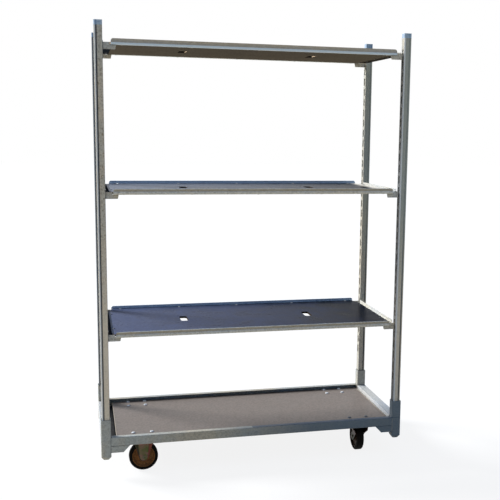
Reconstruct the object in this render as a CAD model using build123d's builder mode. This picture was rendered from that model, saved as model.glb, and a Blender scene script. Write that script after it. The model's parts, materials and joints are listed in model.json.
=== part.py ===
"""Danish plant trolley: castor base, four slotted posts and three hook-on shelves.

Millimetres, +Z up. The origin is on the floor under the middle of the base.
X runs along the length, and -Y is the front.
"""
import os

from build123d import *

# Overall size, over the corner sockets and up to the post tops
trolley_length = 1350
trolley_depth = 565
trolley_height = 1900

# Wheels and axles
wheel_diameter = 125
tyre_width = 34
tyre_thickness = 13
tyre_shoulder = 7
hub_overhang = 1
hub_radius = 17
core_rim_width = 30
core_web_thickness = 18
core_rim_depth = 9
bush_wall = 2.95
axle_radius = 5
axle_head_radius = 7
axle_head_height = 3
running_clearance = 0.05
seat_clearance = 0.1

# Castors
castor_inset_x = 180
plate_to_lip = 2
plate_margin_x = 10
plate_margin_y = 8
plate_corner = 8
plate_thickness = 4
bolt_pitch_x = 80
bolt_radius = 3.9
bolt_hole_radius = 4.1
bolt_head_radius = 8.5
bolt_head_height = 4.5
bolt_head_round = 4
bolt_head_sink = 0.5
bolt_end = 1.5
nut_size = 13
nut_height = 5
nut_to_leg = 1.5
leg_thickness = 3
leg_hub_gap = 1
fixed_leg_end = 20
fixed_leg_width = 80
fixed_leg_flare = 6
fixed_flare_drop = 14
leg_boss_width = 46
leg_boss_rise = 2.5
leg_boss_inset = 3
leg_boss_taper = 40
swivel_trail = 35
swivel_leg_end = 18
wheel_headroom = 2.5
crown_thickness = 3.5
crown_half_width = 38
crown_lead = 36
crown_corner = 24
shoulder_height = 15
shoulder_drop = 24
ball_radius = 3.2
ball_play = 0.3
ball_circle = 20
ball_count = 14
dust_ring_radius = 30
dust_ring_wall = 3
dust_ring_gap = 0.8
kingpin_radius = 6
kingpin_head_size = 20
kingpin_head_height = 4.7
kingpin_play = 0.3

# Deck and rails
deck_thickness = 14
deck_corner = 20
head_pocket_gap = 0.2
deck_left_gap = 23
deck_right_gap = 2
deck_edge_on_lip = 4
rail_lip_height = 8
rail_above_deck = 17
rail_sheet = 2.5
rail_top_flange = 25
rail_bottom_flange = 20.5
rail_bend = 3
gusset_thickness = 3
gusset_drop = 29
gusset_foot = 51
gusset_run = 79

# Posts and the sockets that they stand in
post_width = 34
post_depth = 34
post_wall = 2
post_outer_round = 7
post_inner_round = 3
post_clearance = 1
groove_radius = 3
groove_depth = 2
groove_from_outside = 9.5
flute_radius = 16
flute_depth = 0.8
flute_from_outside = 22.5
slot_width = 12
slot_height = 34
slot_corner = 2.5
slot_pitch = 50
slot_start = 100
post_top_margin = 62
socket_wall = 3
socket_corner = 6
socket_foot = 73
socket_rise = 77
socket_hold = 120
nose_height = 13
nose_inset = 9
drain_radius = 6

# Shelves
lower_shelf_slot = 5
panel_thickness = 9
panel_play = 0.5
panel_cut_start = 10
hand_slot_width = 34
hand_slot_length = 95
hand_slot_corner = 12
hand_slot_spacing = 580
rim_height = 24
rim_sheet = 2
rim_flange = 22
rim_setback = 1
rim_bead_height = 14
rim_bead_rise = 2.5
rim_hem_width = 3.5
rim_hem_height = 2.5
rim_end_round = 10
rim_to_post = 32
end_rail_width = 16
end_rail_height = 19
end_rail_sheet = 1.5
end_rail_flange = 22
end_rail_to_post = 1
end_rail_to_post_side = 8.5
hook_thickness = 6
hook_overlap = 22
hook_slant = 4
hook_drop = 12
hook_seat = 6
hook_neck = 16
hook_wall_gap = 0.4
hook_tongue = 4
hook_tongue_drop = 13
hook_step_gap = 4
rivet_radius = 2.5
rivet_hole_radius = 2.6
rivet_head_radius = 5
rivet_head_height = 2.5
rivet_head_round = 2
rivet_head_sink = 0.3
rivet_tail_radius = 4.5
rivet_tail_height = 1.5
rivets_per_rim = 5
rivet_end_inset = 42
end_rivet_inset = 86

# Heights that follow, from the floor up
wheel_radius = wheel_diameter / 2
crown_bottom = wheel_diameter + wheel_headroom
crown_top = crown_bottom + crown_thickness
plate_bottom = crown_top + 2 * (ball_radius + ball_play)
plate_top = plate_bottom + plate_thickness
deck_top = plate_top + deck_thickness
rail_top = deck_top + rail_above_deck
rail_bottom = plate_top - rail_lip_height
rail_height = rail_top - rail_bottom
socket_top = rail_top + socket_rise
post_foot = socket_top - socket_hold
first_slot = socket_top + slot_start
slot_room = trolley_height - post_top_margin - slot_height - first_slot
slot_count = int(slot_room // slot_pitch) + 1

# Places that follow, from the middle outwards
half_length = trolley_length / 2
half_depth = trolley_depth / 2
socket_width = post_width + 2 * (post_clearance + socket_wall)
socket_depth = post_depth + 2 * (post_clearance + socket_wall)
socket_x = half_length - socket_width / 2
socket_y = half_depth - socket_depth / 2
socket_inner_x = half_length - socket_width
socket_inner_y = half_depth - socket_depth
post_inner_x = socket_x - post_width / 2
post_inner_y = socket_y - post_depth / 2
hub_length = tyre_width + 2 * hub_overhang
leg_inner = hub_length / 2 + leg_hub_gap
leg_outer = leg_inner + leg_thickness
bolt_pitch_y = 2 * (leg_outer + nut_to_leg) + nut_size
plate_length = bolt_pitch_x + 2 * plate_margin_x
plate_width = bolt_pitch_y + 2 * plate_margin_y
castor_x = half_length - castor_inset_x
castor_y = half_depth - rail_bottom_flange - plate_to_lip - plate_width / 2
bush_radius = axle_radius + running_clearance + bush_wall
rim_half = post_inner_x - rim_to_post
rim_face = half_depth - rim_setback - rim_bead_rise
rim_back = rim_face - rim_sheet
end_rail_outer = post_inner_x - end_rail_to_post
end_rail_inner = end_rail_outer - end_rail_width
end_rail_half = post_inner_y - end_rail_to_post_side
panel_half_depth = rim_back - panel_play
rivet_y = rim_face - rim_flange / 2 - rim_sheet

corners = {
    "front_left": (-1, -1),
    "rear_left": (-1, 1),
    "front_right": (1, -1),
    "rear_right": (1, 1),
}
sides = {"front": -1, "rear": 1}
ends = {"left": -1, "right": 1}

os.makedirs("parts", exist_ok=True)


def write(piece, node):
    piece.part.label = node
    export_step(piece.part, "parts/" + node + ".step")


def level(x, y, z):
    """A flat plane at a point, with its directions along X and Y."""
    return Plane(origin=(x, y, z))


# Deck and its frame

def bolt_places():
    """The sixteen castor bolts, seen from above."""
    places = []
    for sx, sy in corners.values():
        for bx in (-1, 1):
            for by in (-1, 1):
                x = sx * castor_x + bx * bolt_pitch_x / 2
                y = sy * castor_y + by * bolt_pitch_y / 2
                places.append((x, y))
    return places


def deck_board():
    """A board with rounded corners, into which the bolt heads are drawn a little."""
    left = -socket_inner_x + deck_left_gap
    right = socket_inner_x - deck_right_gap
    half_width = half_depth - rail_bottom_flange + deck_edge_on_lip
    with BuildPart() as deck:
        with BuildSketch(level((left + right) / 2, 0, plate_top)):
            RectangleRounded(right - left, 2 * half_width, deck_corner)
        extrude(amount=deck_thickness)
        with BuildSketch(Plane.XY.offset(plate_top)):
            with Locations(*bolt_places()):
                Circle(bolt_hole_radius)
        extrude(amount=deck_thickness, mode=Mode.SUBTRACT)
        with BuildSketch(Plane.XY.offset(deck_top)):
            with Locations(*bolt_places()):
                Circle(bolt_head_radius + head_pocket_gap)
        extrude(amount=-bolt_head_sink, mode=Mode.SUBTRACT)
    write(deck, "deck_board")


def long_rail(node, sy):
    """A folded rail: outer web, top flange, and a bottom flange whose lip carries the deck."""
    outline = [
        (0, rail_bottom),
        (0, rail_top),
        (rail_top_flange, rail_top),
        (rail_top_flange, rail_top - rail_sheet),
        (rail_sheet, rail_top - rail_sheet),
        (rail_sheet, rail_bottom + rail_sheet),
        (rail_bottom_flange - rail_sheet, rail_bottom + rail_sheet),
        (rail_bottom_flange - rail_sheet, plate_top),
        (rail_bottom_flange, plate_top),
        (rail_bottom_flange, rail_bottom),
    ]
    points = [(sy * (half_depth - inward), z) for inward, z in outline]
    with BuildPart() as rail:
        with BuildSketch(Plane.YZ) as section:
            with BuildLine():
                Polyline(*points, close=True)
            make_face()
            outer_corners = section.vertices().group_by(Axis.X)[-1 if sy > 0 else 0]
            fillet(outer_corners, rail_bend)
        extrude(amount=socket_inner_x, both=True)
    write(rail, node)


def end_rail(node, sx, deck_gap):
    """A wide inverted channel between two sockets, with a foot whose lip carries the deck's end."""
    middle = (rail_top + rail_bottom) / 2
    foot_width = deck_gap + deck_edge_on_lip
    lip_x = socket_inner_x - foot_width + rail_sheet / 2
    with BuildPart() as rail:
        with BuildSketch(Plane.XZ) as section:
            with Locations((sx * socket_x, middle)):
                Rectangle(socket_width, rail_height)
            fillet(section.vertices().group_by(Axis.Y)[-1], rail_bend)
            with Locations((sx * socket_x, middle - rail_sheet)):
                Rectangle(socket_width - 2 * rail_sheet, rail_height, mode=Mode.SUBTRACT)
        extrude(amount=socket_inner_y, both=True)
        with BuildSketch(Plane.XZ):
            with Locations((sx * (socket_inner_x - foot_width / 2), rail_bottom + rail_sheet / 2)):
                Rectangle(foot_width, rail_sheet)
            with Locations((sx * lip_x, rail_bottom + rail_lip_height / 2)):
                Rectangle(rail_sheet, rail_lip_height)
        extrude(amount=half_depth - rail_bottom_flange, both=True)
    write(rail, node)


def corner_gussets():
    outline = [
        (0, rail_bottom),
        (0, rail_bottom - gusset_drop),
        (gusset_foot, rail_bottom - gusset_drop),
        (gusset_run, rail_bottom),
    ]
    with BuildPart() as gussets:
        for sx, sy in corners.values():
            points = [(sx * (socket_inner_x - inward), z) for inward, z in outline]
            with BuildSketch(Plane.XZ.offset(-sy * (half_depth - gusset_thickness / 2))):
                with BuildLine():
                    Polyline(*points, close=True)
                make_face()
            extrude(amount=gusset_thickness / 2, both=True)
    write(gussets, "corner_gussets")


def socket(node, sx, sy):
    """A square tube with a tapered nose and a seat plate inside for the post."""
    x = sx * socket_x
    y = sy * socket_y
    nose_top = socket_foot + nose_height
    pocket_width = socket_width - 2 * socket_wall
    pocket_depth = socket_depth - 2 * socket_wall
    pocket_corner = socket_corner - socket_wall
    with BuildPart() as tube:
        with BuildSketch(level(x, y, nose_top)):
            RectangleRounded(socket_width, socket_depth, socket_corner)
        extrude(amount=socket_top - nose_top)
        with BuildSketch(level(x, y, nose_top)):
            RectangleRounded(socket_width, socket_depth, socket_corner)
        with BuildSketch(level(x, y, socket_foot)):
            RectangleRounded(socket_width - 2 * nose_inset, socket_depth - 2 * nose_inset, socket_corner)
        loft()
        with BuildSketch(level(x, y, post_foot)):
            RectangleRounded(pocket_width, pocket_depth, pocket_corner)
        extrude(amount=socket_top - post_foot, mode=Mode.SUBTRACT)
        with BuildSketch(level(x, y, nose_top)):
            RectangleRounded(pocket_width, pocket_depth, pocket_corner)
        extrude(amount=post_foot - socket_wall - nose_top, mode=Mode.SUBTRACT)
        with BuildSketch(level(x, y, nose_top)):
            RectangleRounded(pocket_width, pocket_depth, pocket_corner)
        with BuildSketch(level(x, y, socket_foot + socket_wall)):
            RectangleRounded(pocket_width - 2 * nose_inset, pocket_depth - 2 * nose_inset, pocket_corner)
        loft(mode=Mode.SUBTRACT)
        with BuildSketch(level(x, y, socket_foot)):
            Circle(drain_radius)
        extrude(amount=post_foot - socket_foot, mode=Mode.SUBTRACT)
    write(tube, node)


def castor_bolts():
    head_seat = deck_top - bolt_head_sink
    with BuildPart() as bolts:
        with BuildSketch(Plane.XY.offset(head_seat)):
            with Locations(*bolt_places()):
                Circle(bolt_head_radius)
        extrude(amount=bolt_head_height)
        rims = bolts.edges().filter_by(GeomType.CIRCLE).group_by(Axis.Z)[-1]
        fillet(rims, bolt_head_round)
        with BuildSketch(Plane.XY.offset(plate_bottom - nut_height - bolt_end)):
            with Locations(*bolt_places()):
                Circle(bolt_radius)
        extrude(amount=head_seat - plate_bottom + nut_height + bolt_end)
    write(bolts, "castor_bolts")


def castor_nuts():
    with BuildPart() as nuts:
        with BuildSketch(Plane.XY.offset(plate_bottom - nut_height)):
            with Locations(*bolt_places()):
                RegularPolygon(nut_size / 2, 6, major_radius=False, rotation=30)
                Circle(bolt_hole_radius, mode=Mode.SUBTRACT)
        extrude(amount=nut_height)
    write(nuts, "castor_nuts")


# Planes of one castor, which rolls along its own first direction

def castor_plane(x, y, rolling):
    return Plane(origin=(x, y, 0), x_dir=rolling, z_dir=(0, 0, 1))


def side_plane(castor, across):
    """Upright and along the rolling direction, moved along the axle."""
    return Plane(origin=castor.origin + castor.y_dir * across, x_dir=castor.x_dir, z_dir=-castor.y_dir)


def axle_plane(castor, trail):
    """Upright through the axle, with its first direction along the axle."""
    hub = castor.origin + castor.x_dir * trail + castor.z_dir * wheel_radius
    return Plane(origin=hub, x_dir=castor.y_dir, z_dir=castor.x_dir)


def axle_line(castor, trail):
    plane = axle_plane(castor, trail)
    return Axis(plane.origin, plane.x_dir)


fixed_castors = {}
swivel_castors = {}
for side, sign in sides.items():
    fixed_castors[side] = castor_plane(-castor_x, sign * castor_y, (1, 0, 0))
    swivel_castors[side] = castor_plane(castor_x, sign * castor_y, (0, -sign, 0))


def plate_bolt_holes():
    with GridLocations(bolt_pitch_x, bolt_pitch_y, 2, 2):
        Circle(bolt_hole_radius, mode=Mode.SUBTRACT)


def fixed_fork(node, castor):
    """A top plate with two flared legs, each with a raised and tapered middle."""
    leg_top = fixed_leg_width / 2
    flare_foot = plate_bottom - fixed_flare_drop
    leg_height = plate_bottom - flare_foot
    with BuildPart() as fork:
        with BuildSketch(side_plane(castor, -leg_outer)):
            with BuildSketch():
                with Locations((0, wheel_radius)):
                    Circle(fixed_leg_end)
                with Locations((0, plate_bottom - leg_height / 2)):
                    Rectangle(fixed_leg_width, leg_height)
                make_hull()
            for sign in (-1, 1):
                with BuildLine():
                    Line((sign * leg_top, flare_foot), (sign * leg_top, plate_bottom))
                    Line((sign * leg_top, plate_bottom), (sign * (leg_top + fixed_leg_flare), plate_bottom))
                    TangentArc(
                        (sign * leg_top, flare_foot),
                        (sign * (leg_top + fixed_leg_flare), plate_bottom),
                        tangent=(0, 1),
                    )
                make_face()
        extrude(amount=-leg_thickness)
        with BuildSketch(side_plane(castor, -leg_outer)):
            with Locations((0, wheel_radius)):
                Circle(fixed_leg_end - leg_boss_inset)
            with Locations((0, plate_bottom - leg_height / 2 - leg_boss_inset)):
                Rectangle(leg_boss_width, leg_height)
            make_hull()
        extrude(amount=leg_boss_rise, taper=leg_boss_taper)
        with BuildSketch(side_plane(castor, -leg_inner)):
            with Locations((0, wheel_radius)):
                Circle(axle_radius + seat_clearance)
        extrude(amount=leg_thickness + leg_boss_rise, mode=Mode.SUBTRACT)
        mirror(about=side_plane(castor, 0))
        with BuildSketch(castor.offset(plate_bottom)):
            RectangleRounded(plate_length, plate_width, plate_corner)
            plate_bolt_holes()
        extrude(amount=plate_thickness)
    write(fork, node)


def axle_outline(half_span):
    """Half of a headed pin, from its middle line out."""
    end = half_span + axle_head_height
    Polyline(
        (-end, 0),
        (-end, axle_head_radius),
        (-half_span, axle_head_radius),
        (-half_span, axle_radius),
        (half_span, axle_radius),
        (half_span, axle_head_radius),
        (end, axle_head_radius),
        (end, 0),
        close=True,
    )


def fixed_axles():
    with BuildPart() as axles:
        for castor in fixed_castors.values():
            with BuildSketch(axle_plane(castor, 0)):
                with BuildLine():
                    axle_outline(leg_outer + leg_boss_rise)
                make_face()
            revolve(axis=axle_line(castor, 0))
    write(axles, "fixed_axles")


# Swivel castors

def swivel_plates():
    with BuildPart() as plates:
        for sy in sides.values():
            with BuildSketch(level(castor_x, sy * castor_y, plate_bottom)):
                RectangleRounded(plate_length, plate_width, plate_corner)
                plate_bolt_holes()
                Circle(kingpin_radius + seat_clearance, mode=Mode.SUBTRACT)
            extrude(amount=plate_thickness)
    write(plates, "swivel_plates")


def kingpins():
    head_top = crown_bottom - kingpin_play
    head_bottom = head_top - kingpin_head_height
    with BuildPart() as pins:
        for sy in sides.values():
            with BuildSketch(level(castor_x, sy * castor_y, head_bottom)):
                RegularPolygon(kingpin_head_size / 2, 6, major_radius=False)
            extrude(amount=kingpin_head_height)
            with BuildSketch(level(castor_x, sy * castor_y, head_bottom)):
                Circle(kingpin_radius)
            extrude(amount=plate_top - head_bottom)
    write(pins, "kingpins")


def swivel_balls():
    middle = crown_top + ball_radius + ball_play
    with BuildPart() as balls:
        for sy in sides.values():
            with Locations((castor_x, sy * castor_y, middle)):
                with PolarLocations(ball_circle, ball_count):
                    Sphere(ball_radius)
    write(balls, "swivel_balls")


def swivel_fork(node, castor):
    """A crown with sloping shoulders and two legs that trail back to the axle."""
    shoulder_top = crown_top - shoulder_height
    shoulder_foot = shoulder_top - shoulder_drop
    leg_foot = wheel_radius - swivel_leg_end
    crown_inner = crown_half_width - leg_thickness
    fold_shift = leg_thickness / 3
    outer = [
        (leg_outer, leg_foot),
        (leg_outer, shoulder_foot),
        (crown_half_width, shoulder_top),
        (crown_half_width, crown_top),
    ]
    inner = [
        (crown_inner, crown_bottom),
        (crown_inner, shoulder_top + fold_shift),
        (leg_inner, shoulder_foot + fold_shift),
        (leg_inner, leg_foot),
    ]
    left_outer = [(-across, z) for across, z in reversed(outer)]
    left_inner = [(-across, z) for across, z in reversed(inner)]
    crown_tail = swivel_trail + swivel_leg_end
    crown_middle = (crown_tail - crown_lead) / 2
    with BuildPart() as fork:
        across = Plane(origin=castor.origin, x_dir=castor.y_dir, z_dir=castor.x_dir)
        with BuildSketch(across):
            with BuildLine():
                Polyline(*outer, *left_outer, *left_inner, *inner, close=True)
            make_face()
        extrude(amount=crown_tail + crown_lead, both=True)
        with BuildSketch(side_plane(castor, 0)):
            with Locations((swivel_trail, wheel_radius)):
                Circle(swivel_leg_end)
            with Locations((0, crown_top - shoulder_height / 2)):
                Rectangle(2 * crown_lead, shoulder_height)
            make_hull()
        extrude(amount=crown_half_width, both=True, mode=Mode.INTERSECT)
        with BuildSketch(castor):
            with Locations((crown_middle, 0)):
                RectangleRounded(crown_tail + crown_lead, 2 * crown_half_width, crown_corner)
        extrude(amount=crown_top, mode=Mode.INTERSECT)
        with BuildSketch(castor.offset(crown_top)):
            Circle(dust_ring_radius)
            Circle(dust_ring_radius - dust_ring_wall, mode=Mode.SUBTRACT)
        extrude(amount=plate_bottom - crown_top - dust_ring_gap)
        with BuildSketch(castor.offset(crown_bottom)):
            Circle(kingpin_radius + running_clearance)
        extrude(amount=crown_thickness, mode=Mode.SUBTRACT)
        with BuildSketch(side_plane(castor, 0)):
            with Locations((swivel_trail, wheel_radius)):
                Circle(axle_radius + seat_clearance)
        extrude(amount=leg_outer, both=True, mode=Mode.SUBTRACT)
    write(fork, node)


def swivel_axle(node, castor):
    with BuildPart() as axle:
        with BuildSketch(axle_plane(castor, swivel_trail)):
            with BuildLine():
                axle_outline(leg_outer)
            make_face()
        revolve(axis=axle_line(castor, swivel_trail))
    write(axle, node)


# Wheels

def tyre(node, castor, trail):
    with BuildPart() as ring:
        with BuildSketch(axle_plane(castor, trail)) as section:
            with Locations((0, wheel_radius - tyre_thickness / 2)):
                Rectangle(tyre_width, tyre_thickness)
            fillet(section.vertices().group_by(Axis.Y)[-1], tyre_shoulder)
        revolve(axis=axle_line(castor, trail))
    write(ring, node)


def wheel_core(node, castor, trail):
    """Hub, thin web and rim, the same on both faces."""
    rim_top = wheel_radius - tyre_thickness - running_clearance
    rim_foot = rim_top - core_rim_depth
    bore = bush_radius + running_clearance
    half = [
        (hub_length / 2, bore),
        (hub_length / 2, hub_radius),
        (core_web_thickness / 2, hub_radius + core_rim_depth),
        (core_web_thickness / 2, rim_foot),
        (core_rim_width / 2, rim_top - core_rim_depth / 2),
        (core_rim_width / 2, rim_top),
    ]
    other_half = [(-along, radius) for along, radius in reversed(half)]
    with BuildPart() as core:
        with BuildSketch(axle_plane(castor, trail)):
            with BuildLine():
                Polyline(*half, *other_half, close=True)
            make_face()
        revolve(axis=axle_line(castor, trail))
    write(core, node)


def wheel_bush(node, castor, trail):
    with BuildPart() as bush:
        with BuildSketch(axle_plane(castor, trail)):
            with Locations((0, bush_radius - bush_wall / 2)):
                Rectangle(hub_length, bush_wall)
        revolve(axis=axle_line(castor, trail))
    write(bush, node)


# Posts

def slot_bottom(index):
    return first_slot + index * slot_pitch


def post(node, sx, sy):
    """A rolled tube, grooved front and back, with a ladder of slots in its inner face."""
    foot = level(sx * socket_x, sy * socket_y, post_foot)
    outside = -1 if sx > 0 else 0
    inside = 0 if sx > 0 else -1
    groove_x = sx * (post_width / 2 - groove_from_outside)
    flute_x = sx * (post_width / 2 - flute_from_outside)
    groove_y = post_depth / 2 + groove_radius - groove_depth
    flute_y = post_depth / 2 + flute_radius - flute_depth
    grooves = [(groove_x, -groove_y), (groove_x, groove_y)]
    flutes = [(flute_x, -flute_y), (flute_x, flute_y)]
    with BuildPart() as tube:
        for wall, mode in ((0, Mode.ADD), (post_wall, Mode.SUBTRACT)):
            with BuildSketch(foot) as section:
                Rectangle(post_width - 2 * wall, post_depth - 2 * wall)
                fillet(section.vertices().group_by(Axis.X)[outside], post_outer_round - wall)
                fillet(section.vertices().group_by(Axis.X)[inside], post_inner_round - wall)
                with Locations(*grooves):
                    Circle(groove_radius + wall, mode=Mode.SUBTRACT)
                with Locations(*flutes):
                    Circle(flute_radius + wall, mode=Mode.SUBTRACT)
            extrude(amount=trolley_height - post_foot, mode=mode)
        inner_face = Plane(origin=(sx * post_inner_x, sy * socket_y, 0), x_dir=(0, 1, 0), z_dir=(1, 0, 0))
        with BuildSketch(inner_face):
            with Locations(*[(0, slot_bottom(index) + slot_height / 2) for index in range(slot_count)]):
                RectangleRounded(slot_width, slot_height, slot_corner)
        extrude(amount=2 * post_wall, both=True, mode=Mode.SUBTRACT)
    write(tube, node)


# Shelves, each from its rim's lower edge

def rim_rivet_places():
    reach = rim_half - rivet_end_inset
    step = 2 * reach / (rivets_per_rim - 1)
    along = [-reach + index * step for index in range(rivets_per_rim)]
    return [(x, sy * rivet_y) for sy in sides.values() for x in along]


def end_rivet_places():
    x = end_rail_inner - end_rail_flange / 2
    y = end_rail_half - end_rivet_inset
    return [(sx * x, sy * y) for sx in ends.values() for sy in sides.values()]


def rivet_holes(z, thickness):
    with BuildSketch(Plane.XY.offset(z)) as holes:
        with Locations(*rim_rivet_places(), *end_rivet_places()):
            Circle(rivet_hole_radius)
    extrude(holes.sketch, amount=thickness, mode=Mode.SUBTRACT)


def shelf_panel(node, rim_bottom):
    """A board with cut corners, two hand slots and a shallow pocket under each rivet head."""
    floor = rim_bottom + rim_sheet
    cut_x = rim_half - panel_cut_start
    with BuildPart() as panel:
        with BuildSketch(Plane.XY.offset(floor)):
            with BuildLine():
                Polyline(
                    (-cut_x, -panel_half_depth),
                    (cut_x, -panel_half_depth),
                    (end_rail_inner, -end_rail_half),
                    (end_rail_inner, end_rail_half),
                    (cut_x, panel_half_depth),
                    (-cut_x, panel_half_depth),
                    (-end_rail_inner, end_rail_half),
                    (-end_rail_inner, -end_rail_half),
                    close=True,
                )
            make_face()
            with GridLocations(hand_slot_spacing, 0, 2, 1):
                RectangleRounded(hand_slot_width, hand_slot_length, hand_slot_corner, mode=Mode.SUBTRACT)
        extrude(amount=panel_thickness)
        rivet_holes(floor, panel_thickness)
        with BuildSketch(Plane.XY.offset(floor + panel_thickness)):
            with Locations(*rim_rivet_places(), *end_rivet_places()):
                Circle(rivet_head_radius + head_pocket_gap)
        extrude(amount=-rivet_head_sink, mode=Mode.SUBTRACT)
    write(panel, node)


def shelf_rim(node, rim_bottom, sy):
    """A folded strip: flange under the panel, upright web, rounded bead below and a hem on top."""
    face = sy * rim_face
    hem_y = sy * (rim_face - rim_hem_width / 2)
    top = rim_bottom + rim_height
    with BuildPart() as rim:
        with BuildSketch(Plane.YZ):
            with Locations((sy * (rim_face - rim_sheet / 2), rim_bottom + rim_height / 2)):
                Rectangle(rim_sheet, rim_height)
            with Locations((sy * (rim_face - rim_flange / 2), rim_bottom + rim_sheet / 2)):
                Rectangle(rim_flange, rim_sheet)
            with Locations((hem_y, top - rim_hem_height / 2)):
                Rectangle(rim_hem_width, rim_hem_height)
            with BuildLine():
                ThreePointArc(
                    (face, rim_bottom),
                    (face + sy * rim_bead_rise, rim_bottom + rim_bead_height / 2),
                    (face, rim_bottom + rim_bead_height),
                )
                Line((face, rim_bottom + rim_bead_height), (face, rim_bottom))
            make_face()
        extrude(amount=rim_half, both=True)
        with BuildSketch(Plane.XZ) as front_view:
            with Locations((0, rim_bottom + rim_height / 2)):
                Rectangle(2 * rim_half, rim_height)
            fillet(front_view.vertices().group_by(Axis.Y)[-1], rim_end_round)
        extrude(amount=half_depth, both=True, mode=Mode.INTERSECT)
        rivet_holes(rim_bottom, rim_sheet)
    write(rim, node)


def shelf_end_rail(node, rim_bottom, sx):
    """An open channel across the shelf's end, with a flange under the panel and a taller outer wall."""
    outline = [
        (end_rail_inner - end_rail_flange, 0),
        (end_rail_inner - end_rail_flange, rim_sheet),
        (end_rail_inner, rim_sheet),
        (end_rail_inner, rim_sheet + panel_thickness),
        (end_rail_inner + end_rail_sheet, rim_sheet + panel_thickness),
        (end_rail_inner + end_rail_sheet, end_rail_sheet),
        (end_rail_outer - end_rail_sheet, end_rail_sheet),
        (end_rail_outer - end_rail_sheet, end_rail_height),
        (end_rail_outer, end_rail_height),
        (end_rail_outer, 0),
    ]
    points = [(sx * x, rim_bottom + rise) for x, rise in outline]
    with BuildPart() as rail:
        with BuildSketch(Plane.XZ):
            with BuildLine():
                Polyline(*points, close=True)
            make_face()
        extrude(amount=end_rail_half, both=True)
        rivet_holes(rim_bottom, rim_sheet)
    write(rail, node)


def shelf_hooks(node, rim_bottom):
    """Four plates under the rim ends; each neck passes through a slot and its tongue hangs inside."""
    seat = rim_bottom - hook_seat
    neck_top = seat + hook_neck
    start = rim_half - hook_overlap
    step = rim_half + hook_step_gap
    shank_end = post_inner_x - hook_wall_gap
    tongue_start = post_inner_x + post_wall + hook_wall_gap
    tongue_end = tongue_start + hook_tongue
    outline = [
        (start, rim_bottom),
        (start + hook_slant, seat - hook_drop),
        (shank_end, seat - hook_drop),
        (shank_end, seat),
        (tongue_start, seat),
        (tongue_start, seat - hook_tongue_drop),
        (tongue_end, seat - hook_tongue_drop),
        (tongue_end, neck_top),
        (step, neck_top),
        (step, rim_bottom),
    ]
    with BuildPart() as hooks:
        for sx, sy in corners.values():
            points = [(sx * x, z) for x, z in outline]
            with BuildSketch(Plane.XZ.offset(-sy * socket_y)):
                with BuildLine():
                    Polyline(*points, close=True)
                make_face()
            extrude(amount=hook_thickness / 2, both=True)
    write(hooks, node)


def shelf_rivets(node, rim_bottom):
    head_seat = rim_bottom + rim_sheet + panel_thickness - rivet_head_sink
    places = rim_rivet_places() + end_rivet_places()
    with BuildPart() as rivets:
        with BuildSketch(Plane.XY.offset(head_seat)):
            with Locations(*places):
                Circle(rivet_head_radius)
        extrude(amount=rivet_head_height)
        crowns = rivets.edges().filter_by(GeomType.CIRCLE).group_by(Axis.Z)[-1]
        fillet(crowns, rivet_head_round)
        with BuildSketch(Plane.XY.offset(rim_bottom)):
            with Locations(*places):
                Circle(rivet_radius)
        extrude(amount=head_seat - rim_bottom)
        with BuildSketch(Plane.XY.offset(rim_bottom - rivet_tail_height)):
            with Locations(*places):
                Circle(rivet_tail_radius)
        extrude(amount=rivet_tail_height)
    write(rivets, node)


# Base
deck_board()
for name, sign in sides.items():
    long_rail(name + "_rail", sign)
end_rail("left_end_rail", ends["left"], deck_left_gap)
end_rail("right_end_rail", ends["right"], deck_right_gap)
corner_gussets()
for name, signs in corners.items():
    socket("socket_" + name, *signs)
castor_bolts()
castor_nuts()

# Castors and their wheels
fixed_axles()
swivel_plates()
kingpins()
swivel_balls()
for name, castor in fixed_castors.items():
    fixed_fork("fixed_fork_" + name, castor)
for name, castor in swivel_castors.items():
    swivel_fork("swivel_fork_" + name, castor)
    swivel_axle("swivel_axle_" + name, castor)
for castors, end, trail in ((fixed_castors, "left", 0), (swivel_castors, "right", swivel_trail)):
    for name, castor in castors.items():
        place = name + "_" + end
        tyre("tyre_" + place, castor, trail)
        wheel_core("wheel_core_" + place, castor, trail)
        wheel_bush("wheel_bush_" + place, castor, trail)

# Uprights
for name, signs in corners.items():
    post("post_" + name, *signs)

# Shelves, spread evenly over the slots
shelf_step = (slot_count - 1 - lower_shelf_slot) // 2
for order, name in enumerate(("lower", "middle", "upper")):
    rim_bottom = slot_bottom(lower_shelf_slot + order * shelf_step) + hook_seat
    shelf = name + "_shelf_"
    shelf_panel(shelf + "panel", rim_bottom)
    for side, sign in sides.items():
        shelf_rim(shelf + side + "_rim", rim_bottom, sign)
    for end, sign in ends.items():
        shelf_end_rail(shelf + end + "_end", rim_bottom, sign)
    shelf_hooks(shelf + "hooks", rim_bottom)
    shelf_rivets(shelf + "rivets", rim_bottom)
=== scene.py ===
# %% [markdown]
# # A Danish trolley
# The trolley is a steel base on four castors, four slotted posts that stand in its corner sockets,
# and three shelves that hang in the posts by hooks. The measured model is loaded first and stays
# where it is: everything below gives it a surface, or models again what a press, a welder or a
# riveter left softer than a drawing shows it.

# %% Load the measured model
import json
import math

import bmesh
import bpy
from mathutils import Matrix, Vector


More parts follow.
